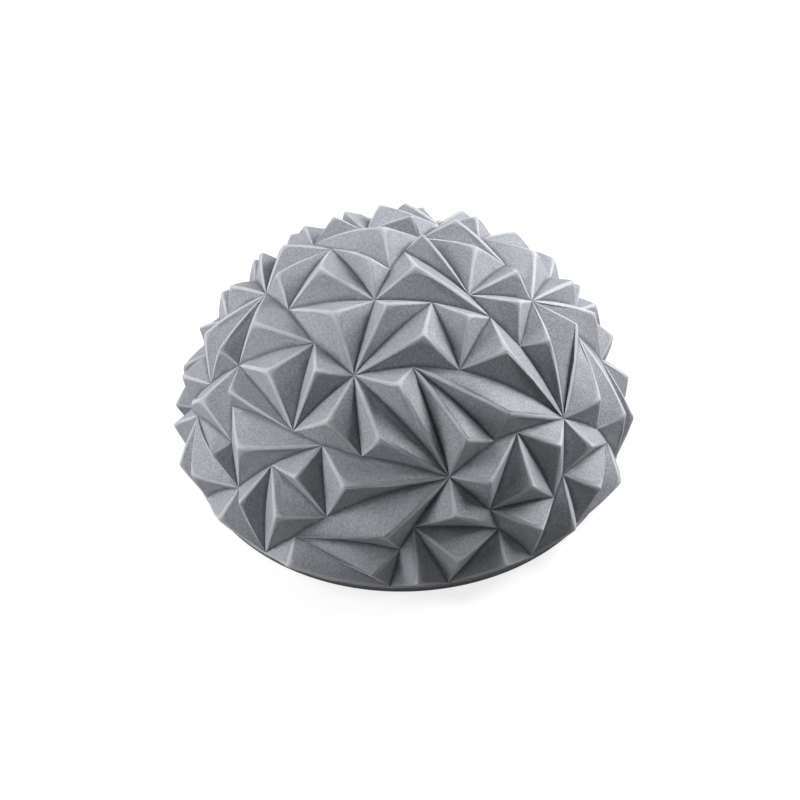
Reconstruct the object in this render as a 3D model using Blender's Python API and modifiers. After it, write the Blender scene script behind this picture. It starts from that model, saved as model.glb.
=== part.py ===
"""Half balance ball: a hollow dome of raised three-sided pyramids on a flat base with an air valve.

Metres, +Z up. The origin is the middle of the flat underside.
"""

from itertools import accumulate
from math import acos, atan2, cos, degrees, hypot, radians, sin, sqrt, tan

import bmesh
import bpy
from mathutils import Vector

OBJECT_NAME = "half_balance_ball"

# Fit between pieces that touch
GAP = 0.0003

# Dome: valleys lie on one sphere about the origin, peaks on a larger one
VALLEY_RADIUS = 0.074
PYRAMID_HEIGHT = 0.0066
DOME_WALL = 0.003

# Rounding of the pyramids' edges: its half width, and the share of the way from the flat strip
# across an edge (0) to the sharp edge (1) at which the rounded crest and peak lie
RIDGE_ROUND = 0.0009
RIDGE_FULLNESS = 0.5
PEAK_FULLNESS = 0.67
WIDEST_HALF_CORNER = 60

# Rim: the circle where the pyramids end, with a thin lip under it
RIM_HEIGHT = 0.0039
LIP_THICKNESS = 0.0009
LIP_OVERHANG = 0.0004
LIP_CHAMFER = 0.0003

# Base pan
PAN_INSET = 0.0006
PAN_THICKNESS = 0.003
PAN_EDGE_ROUND = 0.0012
SPIGOT_HEIGHT = 0.005
SPIGOT_WALL = 0.003
RECESS_RADIUS = 0.019

# Valve: a soft barrel clipped through the pan, and a plug pressed into it from below
PLUG_STEM_RADIUS = 0.0021
PLUG_STEM_LENGTH = 0.014
PLUG_TIP_CHAMFER = 0.001
PLUG_RIB_HEIGHT = 0.0003
PLUG_RIB_HALF_WIDTH = 0.0006
PLUG_RIB_COUNT = 3
PLUG_HEAD_RADIUS = 0.007
PLUG_HEAD_THICKNESS = 0.0013
PLUG_HEAD_EDGE = 0.0004
PLUG_FLOOR_CLEARANCE = 0.0006
SEAT_FLANGE_THICKNESS = 0.0015
SEAT_FLANGE_RADIUS = 0.0095
SEAT_WALL = 0.0032
SEAT_BARREL_LENGTH = 0.012
SEAT_BARREL_TAPER = 0.0012

# Colour and roughness of each material
DOME_LOOK = (0.285, 0.295, 0.32), 0.62
BASE_LOOK = (0.16, 0.165, 0.175), 0.6
SEAT_LOOK = (0.2, 0.2, 0.21), 0.5
PLUG_LOOK = (0.55, 0.55, 0.54), 0.4

# Fineness of the surfaces
MERGE_DISTANCE = 0.00001
VALLEY_STEP = 0.0065
RIM_STEP = 0.0042
LARGE_STEPS = 72
SMALL_STEPS = 40
ARC_STEPS = 4
SMOOTH_ANGLE = 28

# Valley points of the flattened dome, as degrees of lean from the crown: (to the right, to the back)
VALLEY_POINTS = {
    # crown
    "c1": (-18, 14.5), "c2": (-29.5, -6), "c3": (-6.5, -10.5), "c4": (-2.5, 0), "c5": (1, 7.5),
    "c6": (5.5, 15), "c7": (-24, 24), "c8": (-9, 22.5), "c9": (11, 28), "c10": (28, 10),
    "c11": (22, 23), "c12": (17, -7.5), "c13": (22.5, -13), "c14": (7.5, -11.5),
    # front
    "f1": (-12.5, -30.5), "f2": (-22.5, -19.5), "f3": (2.5, -29.5), "f4": (14.5, -29.5),
    "f5": (-12, -50.5), "f6": (12.5, -56), "f7": (25, -45.5), "f8": (31.5, -42), "f9": (26, -63),
    "f10": (30, -67.5), "f11": (2, -69), "f12": (-2.5, -75), "f13": (-25, -64), "f14": (-38.5, -67),
    # left
    "l1": (-37, 6), "l2": (-46.5, -14.5), "l3": (-50.5, -25), "l4": (-53.5, -34), "l5": (-55.5, -47),
    "l6": (-40, -46.5), "l7": (-23, -46), "l8": (-31, -40.5), "l9": (-60, -10.5),
    "l10": (-70.5, -13), "l11": (-53.5, 13), "l12": (-66, 13), "l13": (-45.5, 30), "l14": (-36.5, 35),
    "l15": (-77.5, -1),
    # right
    "r1": (31, -19), "r2": (35, -1.5), "r3": (47, -33), "r4": (51.5, -2.5), "r5": (63, -27.5),
    "r6": (71, -26.5), "r7": (50.5, -47.5), "r8": (49, -54.5), "r9": (65, 1), "r10": (54, 14),
    "r11": (76, 19), "r12": (45.5, 24),
    # back
    "b1": (-17.5, 34), "b2": (-5.5, 44), "b3": (12, 45), "b4": (28.5, 37.5), "b5": (54.5, 35),
    "b6": (66.5, 42), "b7": (46.5, 52.5), "b8": (25, 62), "b9": (3, 62), "b10": (-15.5, 65),
    "b11": (-35.5, 52.5), "b12": (-54, 42), "b13": (-65, 29),
}

# Valley points on the rim, counter-clockwise from above: each one's turn in degrees from the one
# before it, the first from the right
RIM_TURNS = {
    "rim1": -3, "rim2": 27, "rim3": 22, "rim4": 21, "rim5": 23, "rim6": 21, "rim7": 22,
    "rim8": 25, "rim9": 20, "rim10": 11, "rim11": 17, "rim12": 25.5, "rim13": 34, "rim14": 14.5,
    "rim15": 23, "rim16": 16, "rim17": 26,
}

# Each pyramid's outline, counter-clockwise from above: a name with a dot is passed along a side
PYRAMIDS = (
    # crown
    "c5 .c4 c3 .c14 c13 .c12", "c5 c12 c6", "c12 c10 c6", "c12 r2 c10", "c12 .c13 r1 r2",
    "c6 c10 .c11 c9", "c8 c6 c9", "c7 .c1 c4 .c5 c6 .c8", "c1 c3 c4", "c1 c2 c3", "c1 l1 c2",
    "c1 .c7 l14 l1", "c11 .c10 r2 r12", "c2 .f2 f1 c3",
    # front
    "c3 f1 c14", "f1 .f3 f4 c14", "c14 f4 c13", "f4 r3 .r1 c13", "f1 f6 f3", "f3 f6 f7",
    "f3 f7 .f8 r3 .f4", "f6 f9 f8 .f7", "f9 r8 f8", "f8 r8 .r7 r3", "f9 .f10 rim15 r8",
    "f6 f11 f10 .f9", "f11 rim14 f10", "f10 rim14 rim15", "f11 .f12 rim13 rim14", "f6 .f13 f14 f12 .f11",
    "f14 rim13 f12", "rim12 rim13 f14", "l7 f13 f6 .f5", "l6 f13 l7", "l6 rim12 .f14 f13",
    "f2 l8 f1", "l8 .l7 f5 f1", "f1 f5 f6",
    # left
    "l5 rim12 l6", "l3 .l4 l5 .l6 l7 .l8", "l2 l3 l8", "l2 l8 f2", "l1 l2 f2 .c2", "l1 l9 l2",
    "l2 .l9 l15 .l10 l4 .l3", "l4 l10 l5", "l10 rim11 l5", "l5 rim11 rim12", "l10 rim10 rim11",
    "l10 .l15 rim9 rim10", "l9 l12 l15", "l12 rim9 l15", "l1 .l11 l12 l9", "l1 l13 l11", "l1 l14 l13",
    # right
    "r1 r3 r2", "r2 r3 r4", "r4 r3 r5", "r3 r7 r6 .r5", "r7 rim16 r6", "r7 .r8 rim15 rim16",
    "r6 rim16 rim17", "r4 r5 .r6 rim17 .r9", "r2 .r4 r9 r10", "r9 r11 r10", "r9 rim17 rim1",
    "r9 rim1 r11", "r2 r10 r12", "r12 r10 b5", "r10 r11 b5", "r11 rim1 rim2", "r11 rim2 b6",
    "r11 b6 b5",
    # back
    "c8 b1 c7", "c7 b1 l14", "c9 b2 c8", "c8 b2 b1", "c9 c11 b4", "c9 b4 b3", "c9 b3 b2",
    "c11 r12 b4", "r12 b5 b4", "b5 b6 b7", "b5 b7 b4", "b4 b7 b8", "b4 b8 b3", "b3 b8 b9",
    "b3 b9 b2", "b2 b9 b10", "b2 b10 b1", "b1 b10 b11", "b1 b11 l14", "l14 b11 b12", "l14 b12 l13",
    "l13 b12 b13", "l13 b13 l11", "l11 b13 l12", "l12 b13 rim9", "b13 rim8 rim9",
    "b6 rim2 rim3", "b6 rim3 b7", "b7 rim3 rim4", "b7 rim4 b8", "b8 rim4 rim5", "b8 rim5 b9",
    "b9 rim5 b10", "b10 rim5 rim6", "b10 rim6 b11", "b11 rim6 rim7", "b11 rim7 b12",
    "b12 rim7 rim8", "b12 rim8 b13",
)

# Peaks that stand off the middle of their corners, in degrees of lean: (to the right, to the back)
PEAK_SHIFTS = {
    # crown
    "c8 c6 c9": (-0.5, -3.5), "c6 c10 .c11 c9": (1, -0.5), "c1 .c7 l14 l1": (1, 0.7),
    # left
    "l1 l9 l2": (1, -1.5), "l4 l10 l5": (1.5, -1), "l10 rim10 rim11": (1, -4),
    "l10 .l15 rim9 rim10": (1, 4), "l12 rim9 l15": (-1, -2), "l1 .l11 l12 l9": (2, 0),
    "l1 l14 l13": (2.3, 2),
    # right
    "r2 r3 r4": (0, 2), "r4 r5 .r6 rim17 .r9": (2, 1), "r6 rim16 rim17": (-1, -5.5),
    "r9 rim17 rim1": (-4, -1), "r12 r10 b5": (2, -1), "r10 r11 b5": (-2, -3),
    # back
    "c8 b1 c7": (0.8, 0), "c8 b2 b1": (-2.5, -2.5), "c9 b2 c8": (-4, 0.7), "c9 b3 b2": (-5, 1.5),
    "b3 b9 b2": (3.5, -3), "b2 b10 b1": (0, 5), "l14 b12 l13": (2, -1), "l13 b13 l11": (2, 0),
    "l12 b13 rim9": (-1.8, -5.7), "c7 b1 l14": (-0.5, 0.5),
}

# Where a ridge's rounding is measured, as shares of the way from peak to corner
RIDGE_STATIONS = (0.42, 0.8)

# Worked-out sizes
PEAK_RADIUS = VALLEY_RADIUS + PYRAMID_HEIGHT
RIM_POINTS = dict(zip(RIM_TURNS, accumulate(RIM_TURNS.values())))
RIM_LEAN = degrees(acos(RIM_HEIGHT / VALLEY_RADIUS))
RIM_RADIUS = sqrt(VALLEY_RADIUS**2 - RIM_HEIGHT**2)
INNER_RADIUS = VALLEY_RADIUS - DOME_WALL
INNER_RIM_RADIUS = INNER_RADIUS * sin(radians(RIM_LEAN))
SEAM_HEIGHT = RIM_HEIGHT - LIP_THICKNESS
LIP_RADIUS = RIM_RADIUS + LIP_OVERHANG

PAN_RADIUS = RIM_RADIUS - PAN_INSET
PAN_TOP = SEAM_HEIGHT - GAP
SPIGOT_TOP = SEAM_HEIGHT + SPIGOT_HEIGHT
CHORD_SAG = INNER_RADIUS * (1 - cos(VALLEY_STEP / INNER_RADIUS / 2))
SPIGOT_RADIUS = min(INNER_RIM_RADIUS, sqrt(INNER_RADIUS**2 - SPIGOT_TOP**2)) - CHORD_SAG - GAP

PLUG_BOTTOM = PLUG_FLOOR_CLEARANCE
SEAT_BOTTOM = PLUG_BOTTOM + PLUG_HEAD_THICKNESS + GAP
RECESS_CEILING = SEAT_BOTTOM + SEAT_FLANGE_THICKNESS + GAP
RECESS_TOP = RECESS_CEILING + PAN_THICKNESS
BARREL_BOTTOM = RECESS_TOP + GAP + SEAT_FLANGE_THICKNESS
SEAT_BORE_RADIUS = PLUG_STEM_RADIUS + PLUG_RIB_HEIGHT + GAP
SEAT_NECK_RADIUS = SEAT_BORE_RADIUS + SEAT_WALL
VALVE_HOLE_RADIUS = SEAT_NECK_RADIUS + GAP


def new_material(name, colour, roughness):
    """A plain Principled BSDF in one colour."""
    material = bpy.data.materials.new(name)
    material.use_nodes = True
    shader = material.node_tree.nodes["Principled BSDF"]
    shader.inputs["Base Color"].default_value = (*colour, 1)
    shader.inputs["Roughness"].default_value = roughness
    shader.inputs["Metallic"].default_value = 0
    return material


def add_object(name, mesh, material, collection):
    """Links a smooth-shaded mesh under its part's name."""
    mesh.materials.append(material)
    mesh.shade_smooth()
    mesh.set_sharp_from_angle(angle=radians(SMOOTH_ANGLE))
    part = bpy.data.objects.new(name, mesh)
    collection.objects.link(part)
    return part


def arc(centre, radius, start, end):
    """Points of a round corner in a profile, angles in degrees from the +radius direction."""
    points = []
    for step in range(ARC_STEPS + 1):
        angle = radians(start + (end - start) * step / ARC_STEPS)
        points.append((centre[0] + radius * cos(angle), centre[1] + radius * sin(angle)))
    return points


def turned(name, profile, steps, material, collection):
    """A solid of revolution about Z; the profile runs down its outer side as (radius, height)."""
    outline = bpy.data.meshes.new(name)
    count = len(profile)
    touches_axis = profile[0][0] == 0
    edges = [(i, i + 1) for i in range(count - 1)]
    if not touches_axis:
        edges.append((count - 1, 0))
    outline.from_pydata([(radius, 0, height) for radius, height in profile], edges, [])
    part = bpy.data.objects.new(name, outline)
    collection.objects.link(part)
    screw = part.modifiers.new("Turn", "SCREW")
    screw.steps = steps
    screw.render_steps = steps
    screw.use_merge_vertices = True
    screw.merge_threshold = MERGE_DISTANCE
    solid = bpy.data.meshes.new_from_object(part.evaluated_get(bpy.context.evaluated_depsgraph_get()))
    bpy.data.objects.remove(part)
    bpy.data.meshes.remove(outline)
    solid.name = name
    return add_object(name, solid, material, collection)


def flat_point(name):
    """A valley point's place on the flattened dome, in degrees."""
    if name in VALLEY_POINTS:
        return VALLEY_POINTS[name]
    heading = radians(RIM_POINTS[name])
    return RIM_LEAN * cos(heading), RIM_LEAN * sin(heading)


def direction(across, back):
    """Unit vector towards a point of the flattened dome."""
    lean = radians(hypot(across, back))
    heading = atan2(back, across)
    return Vector((sin(lean) * cos(heading), sin(lean) * sin(heading), cos(lean)))


def flattened(place):
    """A place's degrees of lean from the crown, to the right and to the back."""
    lean = degrees(acos(place.normalized().z))
    heading = atan2(place.y, place.x)
    return lean * cos(heading), lean * sin(heading)


def valley_directions(start, end):
    """Unit vectors along the valley from one point to the next, both included."""
    if start in RIM_POINTS and end in RIM_POINTS:
        turn = (RIM_POINTS[end] - RIM_POINTS[start] + 180) % 360 - 180
        count = max(1, round(abs(radians(turn)) * RIM_RADIUS / RIM_STEP))
        headings = [radians(RIM_POINTS[start] + turn * i / count) for i in range(count + 1)]
        return [direction(RIM_LEAN * cos(h), RIM_LEAN * sin(h)) for h in headings]
    (x0, y0), (x1, y1) = flat_point(start), flat_point(end)
    length = radians(hypot(x1 - x0, y1 - y0)) * VALLEY_RADIUS
    count = max(2, round(length / VALLEY_STEP))
    shares = [i / count for i in range(count + 1)]
    return [direction(x0 + (x1 - x0) * t, y0 + (y1 - y0) * t) for t in shares]


def outline_sides(outline):
    """Splits a pyramid's outline into its three sides, each a list of point names."""
    names = outline.split()
    sides = []
    for name in names + names[:1]:
        if sides:
            sides[-1].append(name.lstrip("."))
        if not name.startswith("."):
            sides.append([name])
    return sides[:-1]


class Skin:
    """One faceted surface of the dome, with every radius grown by the same lift."""

    def __init__(self, bm, lift):
        self.bm = bm
        self.valley_radius = VALLEY_RADIUS + lift
        self.peak_radius = PEAK_RADIUS + lift
        self.points = {}
        self.valleys = {}

    def point(self, name):
        """The vertex at a valley point, made when it is first asked for."""
        if name not in self.points:
            self.points[name] = self.bm.verts.new(direction(*flat_point(name)) * self.valley_radius)
        return self.points[name]

    def valley(self, start, end):
        """Vertices from one valley point to the next, shared by the pyramids on both sides."""
        if (start, end) not in self.valleys:
            between = valley_directions(start, end)[1:-1]
            inner = [self.bm.verts.new(way * self.valley_radius) for way in between]
            row = [self.point(start), *inner, self.point(end)]
            self.valleys[start, end] = row
            self.valleys[end, start] = row[::-1]
        return self.valleys[start, end]

    def side(self, names):
        """Vertices along a whole side of a pyramid, past the points on it."""
        row = [self.point(names[0])]
        for start, end in zip(names, names[1:]):
            row += self.valley(start, end)[1:]
        return row

    def peak(self, outline, sides):
        """The peak stands over the incentre of the three corners, or off it by the outline's shift."""
        a, b, c = (side[0].co for side in sides)
        weights = (b - c).length, (c - a).length, (a - b).length
        across, back = flattened(a * weights[0] + b * weights[1] + c * weights[2])
        shift = PEAK_SHIFTS.get(outline, (0, 0))
        return direction(across + shift[0], back + shift[1]) * self.peak_radius

    def rim(self):
        """Vertices round the rim, counter-clockwise from above."""
        names = list(RIM_POINTS)
        row = []
        for start, end in zip(names, names[1:] + names[:1]):
            row += self.valley(start, end)[:-1]
        return row


def add_sharp_pyramid(bm, peak, sides):
    """A fan of flat triangles from the peak down to the valleys, facing the dome's middle."""
    top = bm.verts.new(peak)
    for side in sides:
        for start, end in zip(side, side[1:]):
            bm.faces.new((top, end, start))


class Ridge:
    """One rounded edge of a pyramid, from its peak to a corner.

    Its spread is how much half width the rounding gets per length left to the corner, which is
    half of what the corner has room for.
    """

    def __init__(self, peak, corner, left, right):
        self.peak = peak
        self.corner = corner
        run = corner.co - peak
        self.length = run.length
        self.along = run.normalized()
        self.left = self.square_to(left.co - peak)
        self.right = self.square_to(right.co - peak)
        half_corner = (left.co - corner.co).angle(right.co - corner.co) / 2
        self.spread = tan(min(half_corner, radians(WIDEST_HALF_CORNER))) / 2

    def square_to(self, way):
        """The part of a direction that is square to the ridge."""
        return (way - self.along * way.dot(self.along)).normalized()

    def sharp(self, distance):
        """The sharp edge's own point at a distance from the peak, on an arc that follows the dome."""
        share = distance / self.length
        radius = self.peak.length * (1 - share) + self.corner.co.length * share
        return (self.peak + self.along * distance).normalized() * radius

    def border(self, distance, side):
        """Where the rounding meets a facet; it runs out at the corner."""
        reach = min(RIDGE_ROUND, self.spread * (self.length - distance))
        return self.sharp(distance) + side * reach

    def crest(self, distance, left, right):
        """The rounded edge's highest line, between its two borders."""
        return ((left + right) / 2).lerp(self.sharp(distance), RIDGE_FULLNESS)


def ridges_of(peak, sides):
    """The three ridges of a pyramid, each with the valleys to its left and right."""
    ridges = []
    for side, before in zip(sides, sides[-1:] + sides[:-1]):
        ridges.append(Ridge(peak, side[0], before[-2], side[1]))
    return ridges


def meeting(here, after):
    """Where the roundings of two neighbouring ridges meet, and how far that is down each ridge."""
    run = RIDGE_ROUND / tan(here.along.angle(after.along) / 2)
    return (here.border(run, here.right) + after.border(run, after.left)) / 2, run


def add_ridge_strip(bm, ridge, before, after, run):
    """The rounding along a ridge from the joints beside its peak; returns left, crest and right."""
    left, right = [before], [after]
    crest = [bm.verts.new(ridge.crest(run, before.co, after.co))]
    for share in RIDGE_STATIONS:
        distance = ridge.length * share
        ends = ridge.border(distance, ridge.left), ridge.border(distance, ridge.right)
        left.append(bm.verts.new(ends[0]))
        crest.append(bm.verts.new(ridge.crest(distance, *ends)))
        right.append(bm.verts.new(ends[1]))
    for k in range(len(RIDGE_STATIONS)):
        bm.faces.new((left[k], left[k + 1], crest[k + 1], crest[k]))
        bm.faces.new((crest[k], crest[k + 1], right[k + 1], right[k]))
    bm.faces.new((left[-1], ridge.corner, crest[-1]))
    bm.faces.new((crest[-1], ridge.corner, right[-1]))
    return left, crest, right


def add_rounded_peak(bm, ridges, runs, joints, crests):
    """A fan of six triangles over the three ridges' upper ends."""
    flat = sum((joint.co for joint in joints), Vector()) / len(joints)
    sharp = sum((ridge.sharp(run) for ridge, run in zip(ridges, runs)), Vector()) / len(ridges)
    top = bm.verts.new(flat.lerp(sharp, PEAK_FULLNESS))
    ring = [vert for crest, joint in zip(crests, joints) for vert in (crest[0], joint)]
    for start, end in zip(ring, ring[1:] + ring[:1]):
        bm.faces.new((top, start, end))


def stitch(bm, inner, outer, peak, first):
    """Triangles between a facet's border and its valley, taken in order of angle about the peak."""
    def angle(vert):
        return (vert.co - peak).angle(first)

    i = j = 0
    while i < len(inner) - 1 or j < len(outer) - 1:
        step_inner = j == len(outer) - 1
        if not step_inner and i < len(inner) - 1:
            step_inner = angle(inner[i + 1]) < angle(outer[j + 1])
        if step_inner:
            corners = inner[i], outer[j], inner[i + 1]
            i += 1
        else:
            corners = inner[i], outer[j], outer[j + 1]
            j += 1
        if len(set(corners)) == 3:
            bm.faces.new(corners)


def add_rounded_pyramid(bm, peak, sides):
    """Three facets that meet in rounded ridges and a rounded peak."""
    ridges = ridges_of(peak, sides)
    meetings = [meeting(here, after) for here, after in zip(ridges, ridges[1:] + ridges[:1])]
    joints = [bm.verts.new(place) for place, _ in meetings]
    runs = [(meetings[k - 1][1] + meetings[k][1]) / 2 for k in range(len(ridges))]
    strips = []
    for k, ridge in enumerate(ridges):
        strips.append(add_ridge_strip(bm, ridge, joints[k - 1], joints[k], runs[k]))
    add_rounded_peak(bm, ridges, runs, joints, [crest for _, crest, _ in strips])
    for k, side in enumerate(sides):
        down_from_here = strips[k][2][::-1]
        up_to_next = strips[(k + 1) % len(sides)][0][1:]
        stitch(bm, [side[0], *down_from_here, *up_to_next, side[-1]], side, peak, ridges[k].along)


def ring_below(bm, rim, radius, height):
    """A level ring with one vertex under each of the rim's."""
    row = []
    for vert in rim:
        heading = atan2(vert.co.y, vert.co.x)
        row.append(bm.verts.new((radius * cos(heading), radius * sin(heading), height)))
    return row


def bridge(bm, upper, lower):
    """Quads between two rings of as many vertices."""
    for k in range(len(upper)):
        after = (k + 1) % len(upper)
        bm.faces.new((upper[k], lower[k], lower[after], upper[after]))


def make_dome(material, collection):
    """The faceted shell: outer and inner skins joined by the lip round the rim."""
    bm = bmesh.new()
    outer = Skin(bm, 0)
    inner = Skin(bm, -DOME_WALL)
    for outline in PYRAMIDS:
        names = outline_sides(outline)
        outer_sides = [outer.side(row) for row in names]
        inner_sides = [inner.side(row) for row in names]
        add_rounded_pyramid(bm, outer.peak(outline, outer_sides), outer_sides)
        add_sharp_pyramid(bm, inner.peak(outline, inner_sides), inner_sides)

    rim = outer.rim()
    rings = [
        rim,
        ring_below(bm, rim, LIP_RADIUS, RIM_HEIGHT - LIP_CHAMFER),
        ring_below(bm, rim, LIP_RADIUS, SEAM_HEIGHT),
        ring_below(bm, rim, INNER_RIM_RADIUS, SEAM_HEIGHT),
        inner.rim(),
    ]
    for upper, lower in zip(rings, rings[1:]):
        bridge(bm, upper, lower)
    mesh = bpy.data.meshes.new("dome_shell")
    bm.to_mesh(mesh)
    bm.free()
    return add_object("dome_shell", mesh, material, collection)


def make_base_pan(material, collection):
    """The flat underside, its spigot inside the dome and the recess round the valve."""
    bottom_corner = (PAN_RADIUS - PAN_EDGE_ROUND, PAN_EDGE_ROUND)
    spigot_inside = SPIGOT_RADIUS - SPIGOT_WALL
    recess_outside = RECESS_RADIUS + PAN_THICKNESS
    profile = [
        (SPIGOT_RADIUS, SPIGOT_TOP),
        (SPIGOT_RADIUS, PAN_TOP),
        (PAN_RADIUS, PAN_TOP),
        *arc(bottom_corner, PAN_EDGE_ROUND, 0, -90),
        (RECESS_RADIUS, 0),
        (RECESS_RADIUS, RECESS_CEILING),
        (VALVE_HOLE_RADIUS, RECESS_CEILING),
        (VALVE_HOLE_RADIUS, RECESS_TOP),
        (recess_outside, RECESS_TOP),
        (recess_outside, PAN_THICKNESS),
        (spigot_inside, PAN_THICKNESS),
        (spigot_inside, SPIGOT_TOP),
    ]
    return turned("base_pan", profile, LARGE_STEPS, material, collection)


def make_valve_seat(material, collection):
    """The soft barrel that grips the plug, with a flange on each face of the pan."""
    barrel_top = BARREL_BOTTOM + SEAT_BARREL_LENGTH
    profile = [
        (SEAT_NECK_RADIUS - SEAT_BARREL_TAPER, barrel_top),
        (SEAT_NECK_RADIUS, BARREL_BOTTOM),
        (SEAT_FLANGE_RADIUS, BARREL_BOTTOM),
        (SEAT_FLANGE_RADIUS, RECESS_TOP + GAP),
        (SEAT_NECK_RADIUS, RECESS_TOP + GAP),
        (SEAT_NECK_RADIUS, RECESS_CEILING - GAP),
        (SEAT_FLANGE_RADIUS, RECESS_CEILING - GAP),
        (SEAT_FLANGE_RADIUS, SEAT_BOTTOM),
        (SEAT_BORE_RADIUS, SEAT_BOTTOM),
        (SEAT_BORE_RADIUS, barrel_top),
    ]
    return turned("valve_seat", profile, SMALL_STEPS, material, collection)


def plug_ribs():
    """Profile points of the ribs round the plug's stem, from the top one down."""
    pitch = PLUG_STEM_LENGTH / (PLUG_RIB_COUNT + 1)
    points = []
    for rib in range(PLUG_RIB_COUNT, 0, -1):
        height = PLUG_HEAD_THICKNESS + rib * pitch
        points += [
            (PLUG_STEM_RADIUS, height + PLUG_RIB_HALF_WIDTH),
            (PLUG_STEM_RADIUS + PLUG_RIB_HEIGHT, height),
            (PLUG_STEM_RADIUS, height - PLUG_RIB_HALF_WIDTH),
        ]
    return points


def make_valve_plug(material, collection):
    """A flat head with a ribbed stem; its origin is on the sliding axis, under the head."""
    top = PLUG_HEAD_THICKNESS + PLUG_STEM_LENGTH
    bottom_corner = (PLUG_HEAD_RADIUS - PLUG_HEAD_EDGE, PLUG_HEAD_EDGE)
    profile = [
        (0, top),
        (PLUG_STEM_RADIUS - PLUG_TIP_CHAMFER, top),
        (PLUG_STEM_RADIUS, top - PLUG_TIP_CHAMFER),
        *plug_ribs(),
        (PLUG_STEM_RADIUS, PLUG_HEAD_THICKNESS),
        (PLUG_HEAD_RADIUS - PLUG_HEAD_EDGE, PLUG_HEAD_THICKNESS),
        (PLUG_HEAD_RADIUS, PLUG_HEAD_THICKNESS - PLUG_HEAD_EDGE),
        *arc(bottom_corner, PLUG_HEAD_EDGE, 0, -90),
        (0, 0),
    ]
    plug = turned("valve_plug", profile, SMALL_STEPS, material, collection)
    plug.location = (0, 0, PLUG_BOTTOM)
    return plug


def main():
    for old in list(bpy.data.objects):
        bpy.data.objects.remove(old)
    collection = bpy.data.collections.new(OBJECT_NAME)
    bpy.context.scene.collection.children.link(collection)
    soft_grey = new_material("soft_grey_vinyl", *DOME_LOOK)
    base_grey = new_material("base_grey_vinyl", *BASE_LOOK)
    valve_grey = new_material("valve_vinyl", *SEAT_LOOK)
    plug_white = new_material("plug_plastic", *PLUG_LOOK)
    make_dome(soft_grey, collection)
    make_base_pan(base_grey, collection)
    make_valve_seat(valve_grey, collection)
    make_valve_plug(plug_white, collection)


main()
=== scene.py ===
"""Looks of a half balance ball: a soft grey dome of raised pyramids on a flat floor with an air valve.

Metres, +Z up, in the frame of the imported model.
"""

from math import cos, pi, radians, sin

import bmesh
import bpy
from bpy.props import FloatProperty, FloatVectorProperty, IntProperty, PointerProperty
from mathutils import Matrix, Vector


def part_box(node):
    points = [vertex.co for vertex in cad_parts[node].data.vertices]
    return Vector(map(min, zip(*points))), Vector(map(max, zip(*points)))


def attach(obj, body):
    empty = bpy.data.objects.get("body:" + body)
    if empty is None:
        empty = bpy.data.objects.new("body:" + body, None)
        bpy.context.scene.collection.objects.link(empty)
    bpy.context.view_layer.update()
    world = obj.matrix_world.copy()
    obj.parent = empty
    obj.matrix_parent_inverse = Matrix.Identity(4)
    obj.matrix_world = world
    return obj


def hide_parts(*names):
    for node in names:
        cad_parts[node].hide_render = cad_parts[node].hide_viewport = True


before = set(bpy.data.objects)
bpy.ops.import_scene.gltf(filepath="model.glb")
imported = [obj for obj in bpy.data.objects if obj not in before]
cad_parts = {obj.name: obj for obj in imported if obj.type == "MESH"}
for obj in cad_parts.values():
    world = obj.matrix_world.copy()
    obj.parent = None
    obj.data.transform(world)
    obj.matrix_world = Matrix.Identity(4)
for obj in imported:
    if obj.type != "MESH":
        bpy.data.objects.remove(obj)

bl_info = {
    "name": "Half Balance Ball",
    "version": (1, 0, 0),
    "blender": (4, 5, 0),
    "location": "3D View > Sidebar > Balance Ball",
    "description": "Builds the finished surfaces, the studio and the camera of a half balance ball",
    "category": "Add Mesh",
}

# Picture's width in pixels, sensor's width in millimetres, and how near and far the camera sees
IMAGE_WIDTH = 800
SENSOR_WIDTH = 36
CAMERA_NEAR = 0.01
CAMERA_FAR = 100

# Softboxes: name, azimuth from the back clockwise from above, elevation, distance, side, level on a
# white surface that faces it. A fit of one render per lamp to the photograph picked all but the last
# out of 22 that were placed, and gave their levels, which are rounded here
SOFTBOXES = (
    ("softbox_right", 65, 36, 0.55, 0.34, 1.58),
    ("softbox_left", 270, 35, 1.2, 0.6, 0.85),
    ("softbox_back", 20, 40, 0.7, 0.35, 0.14),
    ("softbox_back_left", 310, 25, 0.5, 0.25, 0.3),
    ("softbox_left_low", 240, 8, 0.5, 0.2, 0.27),
    ("softbox_front_low", 150, 8, 0.5, 0.15, 0.07),
    ("softbox_below", 0, -70, 0.6, 0.3, 1.5),
)

# Strength at which the world and the backdrop look white
WHITE = 1

# Backdrop: its hole's share of the ball's floor, the faces round it, and its gap below the ball
HOLE_SHARE = 0.95
HOLE_STEPS = 96
FLOOR_GAP = 0.0002

# Backdrop's glow by the ball and further off, the distances between which it rises, its grey to
# the eye, and its grey to light that bounces off it
PAPER_GLOW = (0.8, WHITE)
PAPER_REACH = (0.12, 0.3)
PAPER_GREY = 0.3
BOUNCE_GREY = 0.12

# Points nearer to each other than this are one
WELD = 0.00001

# Turned pieces: corners and edges that bend more than this, and the faces that round a corner
SHARP_ANGLE = radians(40)
CORNER_SEGMENTS = 3

# Limit on the shape of two triangles that are joined into one face
QUAD_ANGLE = radians(50)

# Skin whose normal points further down than this is the foot of the dome's shell
FOOT_NORMAL = -0.99

# Share of the lip's height at which its chamfer starts: the rubbed colour and painted highlight above it,
# painted shade below
LIP_CHAMFER_START = 0.65

# Nearly all of a noise lies between these
NOISE_RANGE = (0.3, 0.7)

# Colour sockets of a Mix node, which share their names with others
MIX_FIRST = 6
MIX_SECOND = 7
MIX_RESULT = 2

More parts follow.
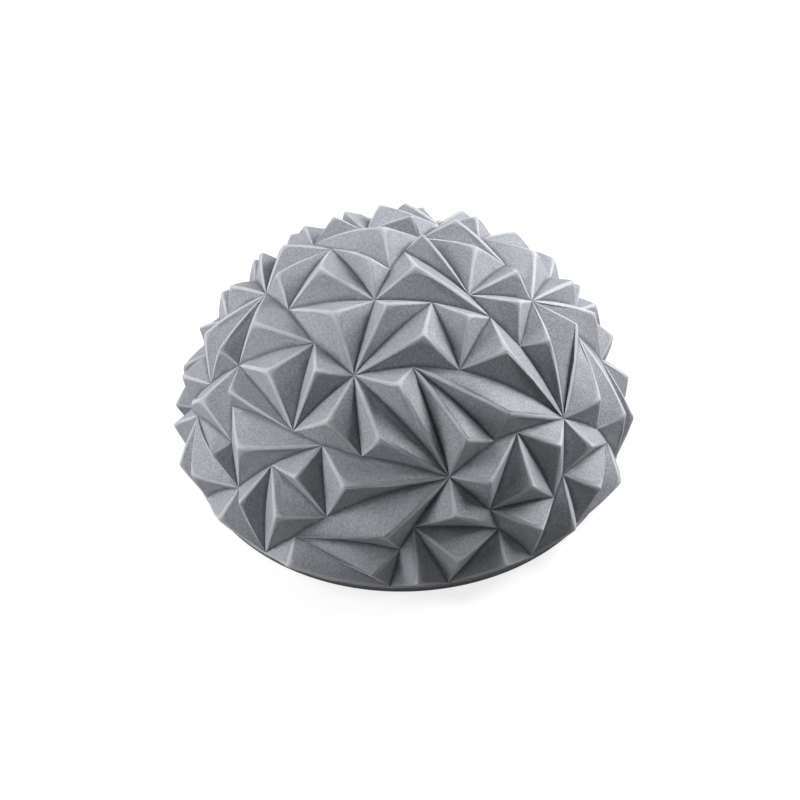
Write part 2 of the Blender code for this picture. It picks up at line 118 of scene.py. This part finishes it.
# Vinyl: shades of its grain and clouds, the clouds' share of the colour, the sizes of clouds and
# blotches in grains, how far its roughness strays, and its gloss
GRAIN_SHADES = (0.66, 1.34)
CLOUD_SHADES = (0.95, 1.04)
CLOUD_SHARE = 0.25
CLOUD_GRAINS = 45
BLOTCH_GRAINS = 6
ROUGHNESS_STEPS = (-0.06, 0.07)
VINYL_SPECULAR = 0.4

# Wear and painted light: where along a ridge's rounding the rubbed colour, which also paints a highlight,
# starts and is full, how much of it the blotches leave, where towards a valley the painted shade starts
# and is full, and its tint
RUB_AND_HIGHLIGHT_RANGE = (0.05, 0.55)
RUB_AND_HIGHLIGHT_SHARES = (0.65, 1)
VALLEY_SHADE_RANGE = (0.8, 1)
VALLEY_SHADE_TINT = (0.45, 0.45, 0.46)

# Plug's plastic: size, shades and roughness of its flow marks, and size and depth of its texture
FLOW_SIZE = 0.004
FLOW_SHADES = (0.93, 1.05)
FLOW_ROUGHNESS = (0.32, 0.45)
TEXTURE_SIZE = 0.0003
TEXTURE_DEPTH = 0.00001


# Settings


class DomeSettings(bpy.types.PropertyGroup):
    """Surface of the dome."""

    levels: IntProperty(name="Levels", description="Times the skin is divided", default=2, min=0, max=3)
    ridge_face: FloatProperty(
        name="Ridge face", description="Faces narrower than this belong to a rounded ridge",
        default=0.00093, unit="LENGTH", precision=5,
    )
    valley_radius: FloatProperty(
        name="Valley radius", description="Skin nearer the middle than this is a valley's",
        default=0.07405, unit="LENGTH", precision=5,
    )
    flat_angle: FloatProperty(
        name="Flat angle", description="Faces that meet at less than this are one surface",
        default=radians(12), subtype="ANGLE",
    )
    colour: FloatVectorProperty(
        name="Colour", description="Vinyl on the facets", default=(0.284, 0.294, 0.322),
        size=3, min=0, max=1, subtype="COLOR",
    )
    # Partly rubbed vinyl, partly a painted highlight: far paler than the facets, along the ridges
    worn_and_highlight_colour: FloatVectorProperty(
        name="Worn colour", description="Rubbed vinyl along the ridges",
        default=(0.475, 0.49, 0.515), size=3, min=0, max=1, subtype="COLOR",
    )
    roughness: FloatProperty(
        name="Roughness", description="Mean roughness", default=0.6, min=0, max=1, subtype="FACTOR",
    )
    grain_size: FloatProperty(
        name="Grain size", description="Spacing of the blasted grain", default=0.0007,
        unit="LENGTH", precision=5,
    )
    grain_depth: FloatProperty(
        name="Grain depth", description="Height of the blasted grain", default=0.00013,
        unit="LENGTH", precision=6,
    )


class FloorSettings(bpy.types.PropertyGroup):
    """Flat floor of the ball."""

    steps: IntProperty(name="Steps", description="Faces round the floor", default=240, min=24)
    corner: FloatProperty(
        name="Corner", description="Rounding of the floor's corners", default=0.0004,
        unit="LENGTH", precision=5,
    )
    # A dark vinyl, darkened further to paint the shade on the band under the lip
    colour: FloatVectorProperty(
        name="Colour", description="Vinyl of the floor", default=(0.055, 0.057, 0.062),
        size=3, min=0, max=1, subtype="COLOR",
    )


class ValveSettings(bpy.types.PropertyGroup):
    """Barrel and plug."""

    steps: IntProperty(name="Steps", description="Faces round the valve", default=96, min=24)
    corner: FloatProperty(
        name="Corner", description="Rounding of the valve's corners", default=0.0002,
        unit="LENGTH", precision=5,
    )
    grain_scale: FloatProperty(
        name="Grain scale", description="Share of the dome's grain on the barrel", default=0.5,
        min=0.1, max=1, subtype="FACTOR",
    )
    barrel_colour: FloatVectorProperty(
        name="Barrel colour", description="Soft vinyl of the barrel", default=(0.2, 0.2, 0.21),
        size=3, min=0, max=1, subtype="COLOR",
    )
    plug_colour: FloatVectorProperty(
        name="Plug colour", description="Plastic of the plug", default=(0.55, 0.55, 0.54),
        size=3, min=0, max=1, subtype="COLOR",
    )


class StudioSettings(bpy.types.PropertyGroup):
    """Camera, lamps and backdrop; the camera was fitted to the photograph from a chosen distance."""

    camera_distance: FloatProperty(
        name="Camera distance", description="From the middle of the underside", default=0.64,
        unit="LENGTH",
    )
    camera_elevation: FloatProperty(
        name="Camera elevation", description="Angle above the floor", default=radians(44.2),
        subtype="ANGLE",
    )
    camera_roll: FloatProperty(
        name="Camera roll", description="Clockwise turn of the camera", default=radians(1.4),
        subtype="ANGLE",
    )
    focal_pixels: FloatProperty(
        name="Focal length", description="In pixels of the picture", default=1834,
    )
    middle: FloatVectorProperty(
        name="Middle", description="Where the middle of the underside lies in the picture, in pixels",
        default=(404.5, 433.7), size=2,
    )
    light_level: FloatProperty(
        name="Light level", description="Share of the lamps' level", default=1, min=0,
    )
    sky_level: FloatProperty(
        name="Sky level", description="Even light from all round", default=0.02, min=0,
    )
    backdrop_size: FloatProperty(
        name="Backdrop size", description="Width of the pale floor", default=6, unit="LENGTH",
    )


# In the order of the operators below
GROUPS = {
    "balanceball_dome": DomeSettings,
    "balanceball_floor": FloorSettings,
    "balanceball_valve": ValveSettings,
    "balanceball_studio": StudioSettings,
}


# Nodes


def empty_tree(owner):
    """The node tree of a material or a world, with nothing in it."""
    owner.use_nodes = True
    owner.node_tree.nodes.clear()
    return owner.node_tree


def add_node(tree, kind, **values):
    """A shader node with some of its own settings."""
    node = tree.nodes.new(kind)
    for key, value in values.items():
        setattr(node, key, value)
    return node


def object_coordinates(tree):
    """Places in metres that stay on a piece as it moves."""
    return add_node(tree, "ShaderNodeTexCoord").outputs["Object"]


def attribute(tree, name):
    """A value that is stored in the mesh."""
    return add_node(tree, "ShaderNodeAttribute", attribute_name=name).outputs["Fac"]


def feed(tree, value, socket):
    """Links a socket to another, or writes a plain number or colour into it."""
    if isinstance(value, bpy.types.NodeSocket):
        tree.links.new(value, socket)
    elif isinstance(value, (int, float)):
        socket.default_value = value
    else:
        socket.default_value = (*value, 1)


def noise(tree, coordinates, size, detail=2, roughness=0.5):
    """Noise whose lumps are about one size across."""
    node = add_node(tree, "ShaderNodeTexNoise", noise_dimensions="3D")
    node.inputs["Scale"].default_value = 1 / size
    node.inputs["Detail"].default_value = detail
    node.inputs["Roughness"].default_value = roughness
    tree.links.new(coordinates, node.inputs["Vector"])
    return node.outputs["Fac"]


def spread(tree, value, target=(0, 1), source=NOISE_RANGE):
    """Maps a value from the source range to the target range, and keeps it within that."""
    node = add_node(tree, "ShaderNodeMapRange", clamp=True)
    for name, end in zip(("From Min", "From Max", "To Min", "To Max"), (*source, *target)):
        node.inputs[name].default_value = end
    tree.links.new(value, node.inputs["Value"])
    return node.outputs["Result"]


def combine(tree, operation, first, second):
    """A sum, product or the like of two values."""
    node = add_node(tree, "ShaderNodeMath", operation=operation)
    tree.links.new(first, node.inputs[0])
    tree.links.new(second, node.inputs[1])
    return node.outputs["Value"]


def mix_colours(tree, factor, first, second, blend="MIX"):
    """Mixes two colours; the factor and each colour is a socket or a plain value."""
    node = add_node(tree, "ShaderNodeMix", data_type="RGBA", blend_type=blend)
    feed(tree, factor, node.inputs["Factor"])
    feed(tree, first, node.inputs[MIX_FIRST])
    feed(tree, second, node.inputs[MIX_SECOND])
    return node.outputs[MIX_RESULT]


def shades(tree, value, colour, levels):
    """A colour that a noise makes darker and lighter."""
    dark, pale = (tuple(min(1, part * level) for part in colour) for level in levels)
    return mix_colours(tree, spread(tree, value), dark, pale)


def bump(tree, height, depth, below=None):
    """A bump of a real depth, over another one if there is one."""
    node = add_node(tree, "ShaderNodeBump")
    node.inputs["Strength"].default_value = 1
    node.inputs["Distance"].default_value = depth
    tree.links.new(height, node.inputs["Height"])
    if below is not None:
        tree.links.new(below, node.inputs["Normal"])
    return node.outputs["Normal"]


def matt_grey(tree, level):
    """A grey without gloss."""
    node = add_node(tree, "ShaderNodeBsdfDiffuse")
    node.inputs["Color"].default_value = (level, level, level, 1)
    return node.outputs["BSDF"]


def mix_shaders(tree, factor, first, second):
    """The first shader where the factor is 0, the second where it is 1."""
    node = add_node(tree, "ShaderNodeMixShader")
    for output, socket in zip((factor, first, second), node.inputs):
        tree.links.new(output, socket)
    return node.outputs["Shader"]


# Materials


def empty_material(name):
    """A material, its node tree, its Principled BSDF and its object coordinates."""
    material = bpy.data.materials.new(name)
    material.use_nodes = True
    tree = material.node_tree
    return material, tree, tree.nodes["Principled BSDF"], object_coordinates(tree)


def wear_and_painted_light(tree, base, blotches, worn_and_highlight_colour):
    """A base colour with rubbed ridges that also carry a painted highlight, broken up by blotches, and
    painted shade in the valleys.
    """
    ridge = spread(tree, attribute(tree, "ridge"), source=RUB_AND_HIGHLIGHT_RANGE)
    rubbed_and_highlight = combine(tree, "MULTIPLY", ridge, spread(tree, blotches, RUB_AND_HIGHLIGHT_SHARES))
    # Painted shade in the valleys and on the lip below its chamfer
    valley = spread(tree, attribute(tree, "valley"), source=VALLEY_SHADE_RANGE)
    worn_and_lit = mix_colours(tree, rubbed_and_highlight, base, worn_and_highlight_colour)
    return mix_colours(tree, valley, worn_and_lit, VALLEY_SHADE_TINT, "MULTIPLY")


def blasted_vinyl(name, colour, finish, scale=1, worn_and_lit=False):
    """Soft vinyl from a blasted mould, with a fine grain and faint clouds, as the dome's settings say."""
    material, tree, shader, coordinates = empty_material(name)
    size = finish.grain_size * scale
    depth = finish.grain_depth * scale
    grain = noise(tree, coordinates, size, detail=3, roughness=0.6)
    clouds = noise(tree, coordinates, size * CLOUD_GRAINS, detail=3)
    blotches = noise(tree, coordinates, size * BLOTCH_GRAINS)

    fine = shades(tree, grain, colour, GRAIN_SHADES)
    broad = shades(tree, clouds, colour, CLOUD_SHADES)
    base = mix_colours(tree, CLOUD_SHARE, fine, broad)
    # Rubbed ridges with a painted highlight, and painted shade in the valleys
    if worn_and_lit:
        base = wear_and_painted_light(tree, base, blotches, finish.worn_and_highlight_colour)
    tree.links.new(base, shader.inputs["Base Color"])

    uneven = spread(tree, blotches, [finish.roughness + step for step in ROUGHNESS_STEPS])
    tree.links.new(uneven, shader.inputs["Roughness"])
    shader.inputs["Specular IOR Level"].default_value = VINYL_SPECULAR
    lumps = bump(tree, blotches, depth)
    tree.links.new(bump(tree, grain, depth, lumps), shader.inputs["Normal"])
    return material


def moulded_plastic(name, colour):
    """Satin hard plastic with faint flow marks."""
    material, tree, shader, coordinates = empty_material(name)
    flow = noise(tree, coordinates, FLOW_SIZE, detail=4, roughness=0.65)
    texture = noise(tree, coordinates, TEXTURE_SIZE)
    tree.links.new(shades(tree, flow, colour, FLOW_SHADES), shader.inputs["Base Color"])
    tree.links.new(spread(tree, flow, FLOW_ROUGHNESS), shader.inputs["Roughness"])
    tree.links.new(bump(tree, texture, TEXTURE_DEPTH), shader.inputs["Normal"])
    return material


def backdrop_material():
    """White to the eye, with a faint shadow; a dark grey to all other light; clear from below."""
    material = bpy.data.materials.new("backdrop_paper")
    tree = empty_tree(material)
    path = add_node(tree, "ShaderNodeLightPath")
    seen = path.outputs["Is Camera Ray"]
    for ray in ("Is Glossy Ray", "Is Transmission Ray"):
        seen = combine(tree, "MAXIMUM", seen, path.outputs[ray])
    away = add_node(tree, "ShaderNodeVectorMath", operation="LENGTH")
    tree.links.new(object_coordinates(tree), away.inputs["Vector"])
    glow = add_node(tree, "ShaderNodeEmission")
    strength = spread(tree, away.outputs["Value"], PAPER_GLOW, PAPER_REACH)
    tree.links.new(strength, glow.inputs["Strength"])
    paper = add_node(tree, "ShaderNodeAddShader")
    for output, socket in zip((glow.outputs["Emission"], matt_grey(tree, PAPER_GREY)), paper.inputs):
        tree.links.new(output, socket)
    above = mix_shaders(tree, seen, matt_grey(tree, BOUNCE_GREY), paper.outputs["Shader"])
    clear = add_node(tree, "ShaderNodeBsdfTransparent").outputs["BSDF"]
    below = add_node(tree, "ShaderNodeNewGeometry").outputs["Backfacing"]
    output = add_node(tree, "ShaderNodeOutputMaterial")
    tree.links.new(mix_shaders(tree, below, above, clear), output.inputs["Surface"])
    return material


# Shapes


def add_object(name, data):
    """A new object in the scene."""
    item = bpy.data.objects.new(name, data)
    bpy.context.scene.collection.objects.link(item)
    return item


def add_mesh(name, bm, material):
    """A new object from a bmesh, which ends here."""
    mesh = bpy.data.meshes.new(name)
    bm.to_mesh(mesh)
    bm.free()
    mesh.materials.append(material)
    return add_object(name, mesh)


def finish_piece(name, bm, material, body, node):
    """Makes a piece from a bmesh and ties it to the frame."""
    piece = add_mesh(name, bm, material)
    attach(piece, body)
    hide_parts(node)
    return piece


def welded_copy(node):
    """A bmesh of a frame node with its loose triangles joined."""
    bm = bmesh.new()
    bm.from_mesh(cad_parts[node].data)
    bmesh.ops.remove_doubles(bm, verts=bm.verts, dist=WELD)
    return bm


def is_outer(face):
    """True on the side of the dome that shows."""
    return face.normal.dot(face.calc_center_median()) > 0 and face.normal.z > FOOT_NORMAL


def is_rounding(face, settings, rim):
    """True on the slim faces along the ridges, which lie above the lip."""
    longest = max(edge.calc_length() for edge in face.edges)
    slim = 2 * face.calc_area() < settings.ridge_face * longest
    return slim and is_outer(face) and face.calc_center_median().z > rim


def in_valley(vert, settings):
    """True on the lines where pyramids meet, and on the skin within them."""
    return vert.co.length < settings.valley_radius


def ends_ridge(vert, rounding, settings):
    """True where a ridge's crest runs down into a corner."""
    crests = (edge for edge in vert.link_edges if all(face[rounding] for face in edge.link_faces))
    return in_valley(vert, settings) and any(
        edge.calc_face_angle_signed() > settings.flat_angle for edge in crests
    )


def join_flat(bm, faces, angle):
    """Joins pairs of triangles that lie flat to each other."""
    bmesh.ops.join_triangles(
        bm, faces=faces, cmp_seam=False, cmp_sharp=False, cmp_uvs=False, cmp_vcols=False,
        cmp_materials=False, angle_face_threshold=angle, angle_shape_threshold=QUAD_ANGLE,
    )


def mark_edges(bm, rounding, settings):
    """Crisp valleys, lip and borders of the ridges' rounding; the faces between are smooth."""
    crease = bm.edges.layers.float.new("crease_edge")
    for face in bm.faces:
        face.smooth = True
    for edge in bm.edges:
        round_faces = sum(face[rounding] for face in edge.link_faces)
        if all(is_outer(face) for face in edge.link_faces):
            folded = all(in_valley(vert, settings) for vert in edge.verts)
        else:
            folded = abs(edge.calc_face_angle_signed()) > settings.flat_angle
        if round_faces == 1 or round_faces == 0 and folded:
            edge.smooth = False
            edge[crease] = 1


def mark_wear_and_painted_light(bm, rounding, settings, seam, rim):
    """Writes where each face lies on a ridge's crest or a valley's floor, for the rubbed colour and
    painted highlight on the crests and the painted shade in the valleys.
    """
    ridge = bm.loops.layers.float.new("ridge")
    valley = bm.loops.layers.float.new("valley")
    for vert in bm.verts:
        crest = all(face[rounding] for face in vert.link_faces) or ends_ridge(vert, rounding, settings)
        low = in_valley(vert, settings)
        for loop in vert.link_loops:
            loop[ridge] = crest and loop.face[rounding]
            loop[valley] = low and not loop.face[rounding]
    # The lip: painted highlight on its chamfer, painted shade below it
    chamfer = seam + LIP_CHAMFER_START * (rim - seam)
    for face in bm.faces:
        height = face.calc_center_median().z
        if height < rim and is_outer(face):
            for loop in face.loops:
                loop[ridge] = height > chamfer
                loop[valley] = height <= chamfer


def make_dome(settings, material):
    """The dome's own skin, divided finely so that its ridges are round and its facets even."""
    bm = welded_copy("dome_shell")
    bm.normal_update()
    rounding = bm.faces.layers.int.new("rounding")
    seam = min(vert.co.z for vert in bm.verts)
    rim = seam + settings.ridge_face
    for face in bm.faces:
        face[rounding] = is_rounding(face, settings, rim)
    join_flat(bm, [face for face in bm.faces if face[rounding]], settings.flat_angle / 2)
    join_flat(bm, [face for face in bm.faces if not face[rounding]], settings.flat_angle)
    bm.normal_update()
    mark_edges(bm, rounding, settings)
    mark_wear_and_painted_light(bm, rounding, settings, seam, rim)
    piece = finish_piece("dome_skin", bm, material, "pod", "dome_shell")
    divide = piece.modifiers.new("Divide", "SUBSURF")
    divide.levels = settings.levels
    divide.render_levels = settings.levels


def section(node):
    """A turned node's own outline on the +X side, as a chain of edges."""
    whole = welded_copy(node)
    outline = bmesh.new()
    made = {}
    for edge in whole.edges:
        if all(abs(vert.co.y) < WELD and vert.co.x > -WELD for vert in edge.verts):
            for vert in edge.verts:
                if vert not in made:
                    made[vert] = outline.verts.new((vert.co.x, 0, vert.co.z))
            outline.edges.new([made[vert] for vert in edge.verts])
    whole.free()
    return outline


def is_corner(vert):
    """True where an outline turns sharply; its ends are no corners."""
    if len(vert.link_edges) != 2:
        return False
    first, second = (edge.other_vert(vert).co - vert.co for edge in vert.link_edges)
    return pi - first.angle(second) > SHARP_ANGLE


def make_turned(name, material, body, node, settings):
    """A turned node again, with rounded corners and a fine sweep."""
    bm = section(node)
    bmesh.ops.bevel(
        bm, geom=[vert for vert in bm.verts if is_corner(vert)], offset=settings.corner,
        offset_type="OFFSET", segments=CORNER_SEGMENTS, profile=0.5, affect="VERTICES",
        clamp_overlap=True, material=-1,
    )
    bmesh.ops.spin(
        bm, geom=bm.verts[:] + bm.edges[:], cent=(0, 0, 0), axis=(0, 0, 1), angle=2 * pi,
        steps=settings.steps, use_merge=True, use_duplicate=False,
    )
    bmesh.ops.remove_doubles(bm, verts=bm.verts, dist=WELD)
    bmesh.ops.recalc_face_normals(bm, faces=bm.faces)
    piece = finish_piece(name, bm, material, body, node)
    piece.data.shade_smooth()
    piece.data.set_sharp_from_angle(angle=SHARP_ANGLE)


# Studio


def make_backdrop(side):
    """A pale floor round the foot of the ball, which covers the hole in its middle."""
    low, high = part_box("base_pan")
    hole = HOLE_SHARE * (high[0] - low[0]) / 2
    bm = bmesh.new()
    for radius in (hole, side / 2):
        bmesh.ops.create_circle(bm, segments=HOLE_STEPS, radius=radius)
    bmesh.ops.bridge_loops(bm, edges=bm.edges[:])
    for face in bm.faces:
        if face.normal.z < 0:
            face.normal_flip()
    backdrop = add_mesh("backdrop", bm, backdrop_material())
    backdrop.location.z = -FLOOR_GAP


def add_softbox(name, azimuth, elevation, distance, side, level):
    """A square lamp that faces the ball; level is what it gives a white surface square to it."""
    around = radians(azimuth)
    up = radians(elevation)
    way = Vector((cos(up) * sin(around), cos(up) * cos(around), sin(up)))
    data = bpy.data.lights.new(name, "AREA")
    data.shape = "SQUARE"
    data.size = side
    data.energy = level * pi**2 * distance**2
    lamp = add_object(name, data)
    lamp.location = way * distance
    lamp.rotation_mode = "QUATERNION"
    lamp.rotation_quaternion = (-way).to_track_quat("-Z", "Y")
    lamp.visible_camera = False


def set_world(level):
    """White behind the floor, and a weak even light."""
    world = bpy.data.worlds.new("studio")
    bpy.context.scene.world = world
    tree = empty_tree(world)
    path = add_node(tree, "ShaderNodeLightPath")
    strength = spread(tree, path.outputs["Is Camera Ray"], (level, WHITE), (0, 1))
    background = add_node(tree, "ShaderNodeBackground")
    background.inputs["Color"].default_value = (1, 1, 1, 1)
    tree.links.new(strength, background.inputs["Strength"])
    output = add_node(tree, "ShaderNodeOutputWorld")
    tree.links.new(background.outputs["Background"], output.inputs["Surface"])


def place_camera(settings):
    """The photograph's view: the middle of the underside lies at a known pixel."""
    data = bpy.data.cameras.new("camera")
    data.sensor_width = SENSOR_WIDTH
    data.lens = settings.focal_pixels * SENSOR_WIDTH / IMAGE_WIDTH
    data.shift_x = (IMAGE_WIDTH / 2 - settings.middle[0]) / IMAGE_WIDTH
    data.shift_y = (settings.middle[1] - IMAGE_WIDTH / 2) / IMAGE_WIDTH
    data.clip_start = CAMERA_NEAR
    data.clip_end = CAMERA_FAR
    camera = add_object("camera", data)
    back = Vector((0, -cos(settings.camera_elevation), sin(settings.camera_elevation)))
    right = Vector((1, 0, 0))
    up = back.cross(right)
    level = Matrix((right, up, back)).transposed()
    turned = level @ Matrix.Rotation(-settings.camera_roll, 3, "Z")
    camera.matrix_world = Matrix.Translation(back * settings.camera_distance) @ turned.to_4x4()
    bpy.context.scene.camera = camera


# Operators


class BALANCEBALL_OT_dome(bpy.types.Operator):
    """Make the dome of raised pyramids."""

    bl_idname = "balanceball.dome"
    bl_label = "Dome"

    def execute(self, context):
        dome = context.scene.balanceball_dome
        make_dome(dome, blasted_vinyl("dome_vinyl", dome.colour, dome, worn_and_lit=True))
        return {"FINISHED"}


class BALANCEBALL_OT_floor(bpy.types.Operator):
    """Make the flat floor with its valve recess."""

    bl_idname = "balanceball.floor"
    bl_label = "Floor"

    def execute(self, context):
        settings = context.scene.balanceball_floor
        vinyl = blasted_vinyl("floor_vinyl", settings.colour, context.scene.balanceball_dome)
        make_turned("floor_pan", vinyl, "pod", "base_pan", settings)
        return {"FINISHED"}


class BALANCEBALL_OT_valve(bpy.types.Operator):
    """Make the valve's soft barrel and its push-in plug."""

    bl_idname = "balanceball.valve"
    bl_label = "Valve"

    def execute(self, context):
        settings = context.scene.balanceball_valve
        dome = context.scene.balanceball_dome
        soft = blasted_vinyl("barrel_vinyl", settings.barrel_colour, dome, settings.grain_scale)
        hard = moulded_plastic("plug_plastic", settings.plug_colour)
        make_turned("valve_barrel", soft, "pod", "valve_seat", settings)
        make_turned("push_plug", hard, "plug", "valve_plug", settings)
        return {"FINISHED"}


class BALANCEBALL_OT_studio(bpy.types.Operator):
    """Set up the pale floor, the softboxes, the sky and the camera."""

    bl_idname = "balanceball.studio"
    bl_label = "Studio"

    def execute(self, context):
        settings = context.scene.balanceball_studio
        context.scene.view_settings.view_transform = "Standard"
        make_backdrop(settings.backdrop_size)
        set_world(settings.sky_level)
        for *place, level in SOFTBOXES:
            add_softbox(*place, level * settings.light_level)
        place_camera(settings)
        return {"FINISHED"}


OPERATORS = (BALANCEBALL_OT_dome, BALANCEBALL_OT_floor, BALANCEBALL_OT_valve, BALANCEBALL_OT_studio)


class BALANCEBALL_PT_panel(bpy.types.Panel):
    """Settings and steps of the half balance ball."""

    bl_idname = "BALANCEBALL_PT_panel"
    bl_label = "Half Balance Ball"
    bl_space_type = "VIEW_3D"
    bl_region_type = "UI"
    bl_category = "Balance Ball"

    def draw(self, context):
        for operator, name in zip(OPERATORS, GROUPS):
            box = self.layout.box()
            box.operator(operator.bl_idname)
            settings = getattr(context.scene, name)
            for prop in settings.bl_rna.properties:
                if prop.identifier not in {"rna_type", "name"}:
                    box.prop(settings, prop.identifier)


def register():
    for cls in (*GROUPS.values(), *OPERATORS, BALANCEBALL_PT_panel):
        bpy.utils.register_class(cls)
    for name, cls in GROUPS.items():
        setattr(bpy.types.Scene, name, PointerProperty(type=cls))


def unregister():
    for name in GROUPS:
        delattr(bpy.types.Scene, name)
    for cls in (BALANCEBALL_PT_panel, *reversed(OPERATORS), *reversed(GROUPS.values())):
        bpy.utils.unregister_class(cls)


def main():
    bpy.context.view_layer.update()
    register()
    bpy.ops.balanceball.studio()
    bpy.ops.balanceball.dome()
    bpy.ops.balanceball.floor()
    bpy.ops.balanceball.valve()


if __name__ == "__main__":
    main()
